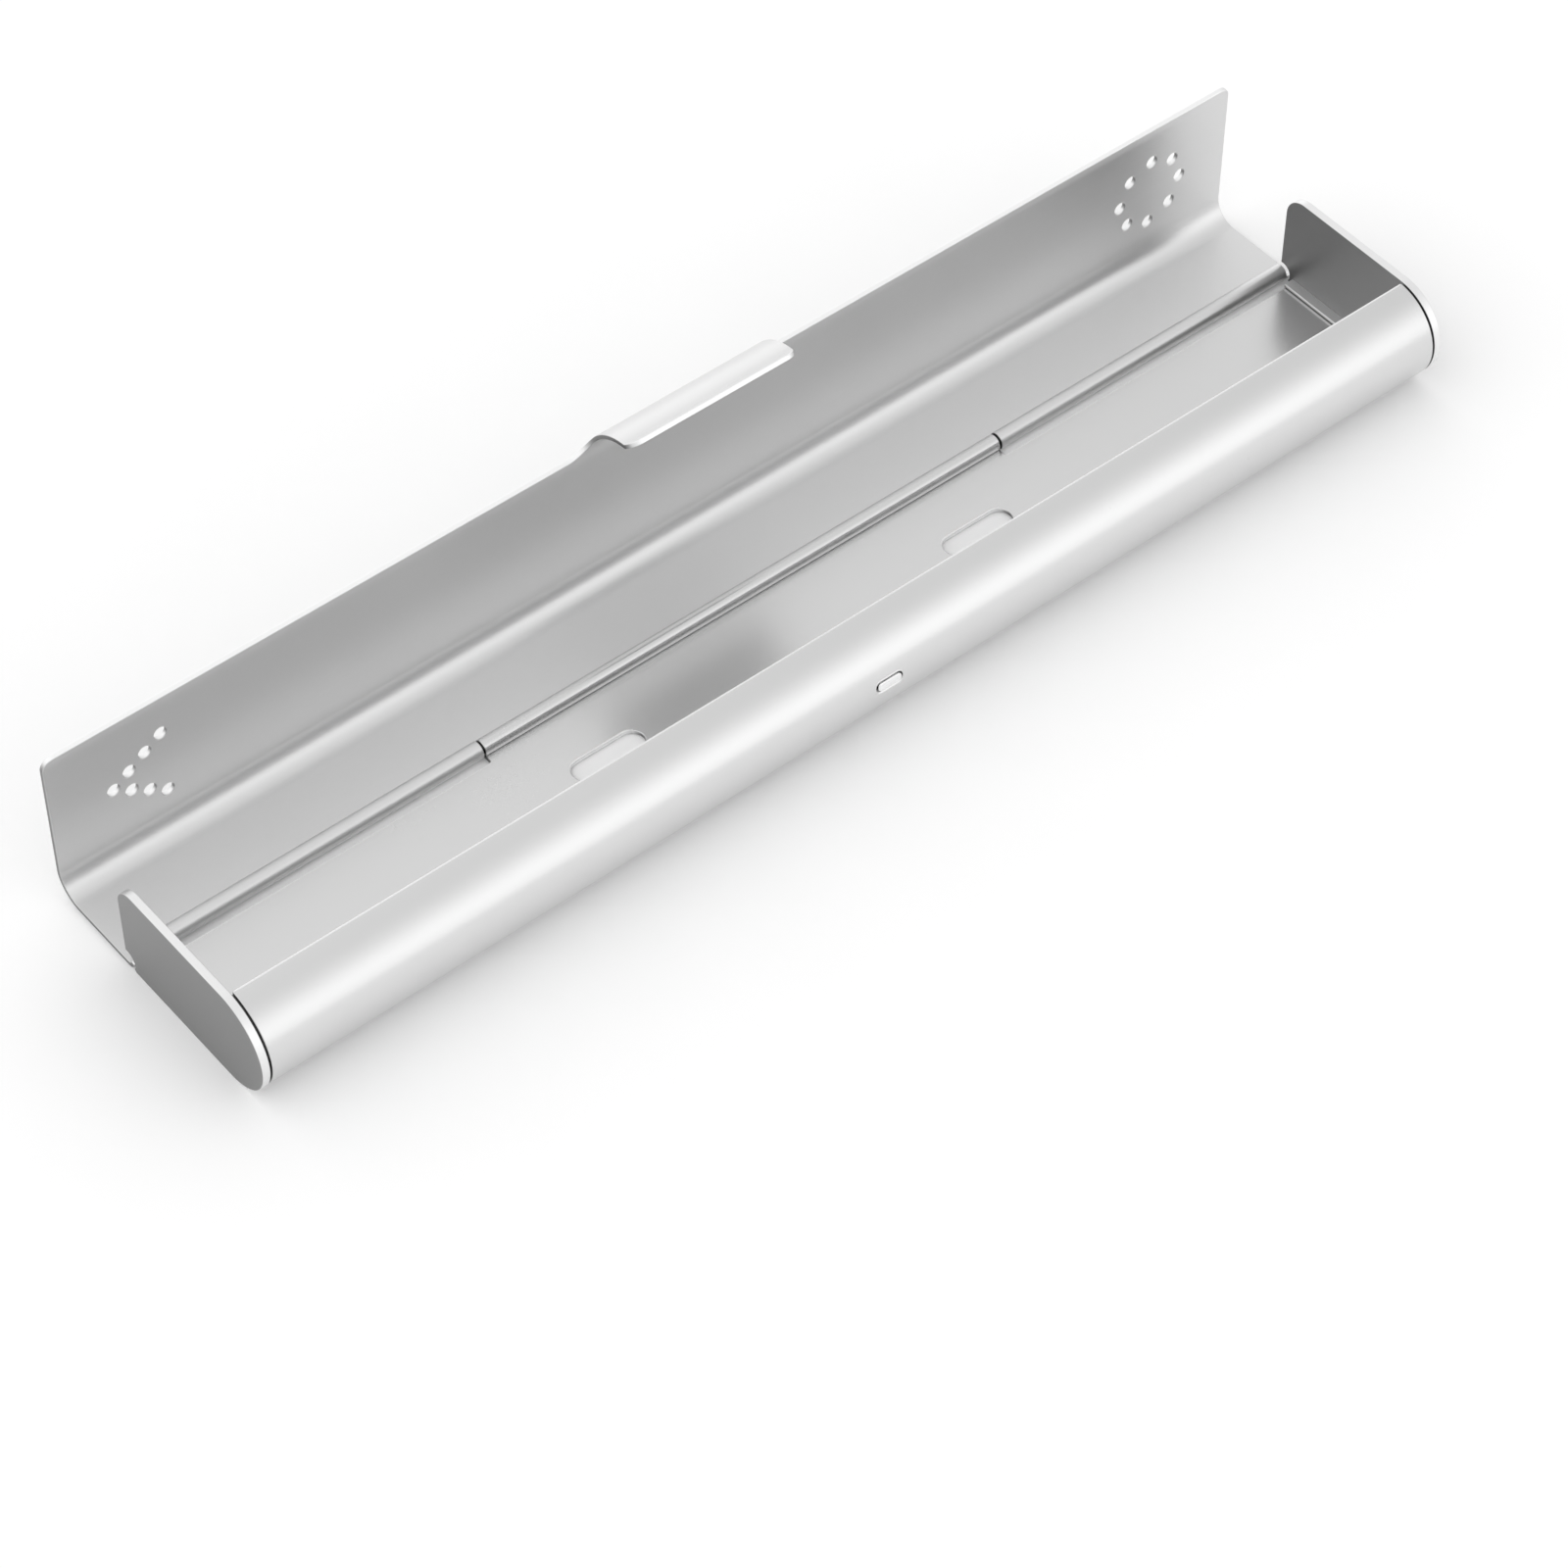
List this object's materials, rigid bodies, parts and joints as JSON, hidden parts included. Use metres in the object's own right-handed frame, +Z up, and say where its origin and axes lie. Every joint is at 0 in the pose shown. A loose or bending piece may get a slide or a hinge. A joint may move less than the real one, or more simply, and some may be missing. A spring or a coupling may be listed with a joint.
{
  "type": "toothbrush travel case",
  "caption": "Slim satin aluminium travel case for a toothbrush: a bent sheet base with end plates and a full-length hinged lid with a finger tab, lying open",
  "frame": {"origin": "centre of the base's flat underside, which rests on the table", "axes": "+X along the case towards the ring of vent holes, +Y towards the hinge, +Z up"},
  "size_m": [0.21, 0.0481, 0.0354],
  "materials": {
    "base_sheet": "satin",
    "lid_sheet": "satin",
    "left_plate": "satin",
    "right_plate": "satin",
    "pin_steel": "drawn wire",
    "stud_metal": "polished"
  },
  "bodies": {
    "base": {"base_shell": "base_sheet", "left_end_cap": "left_plate", "right_end_cap": "right_plate", "hinge_pin": "pin_steel", "latch_stud": "stud_metal"},
    "lid": {"lid_shell": "lid_sheet"}
  },
  "joints": [
    {"name": "lid_hinge", "type": "hinge", "parent": "base", "child": "lid", "pos_m": [0, 0.0156, 0.0014], "axis": [1, 0, 0], "range_deg": [0, 90]}
  ]
}
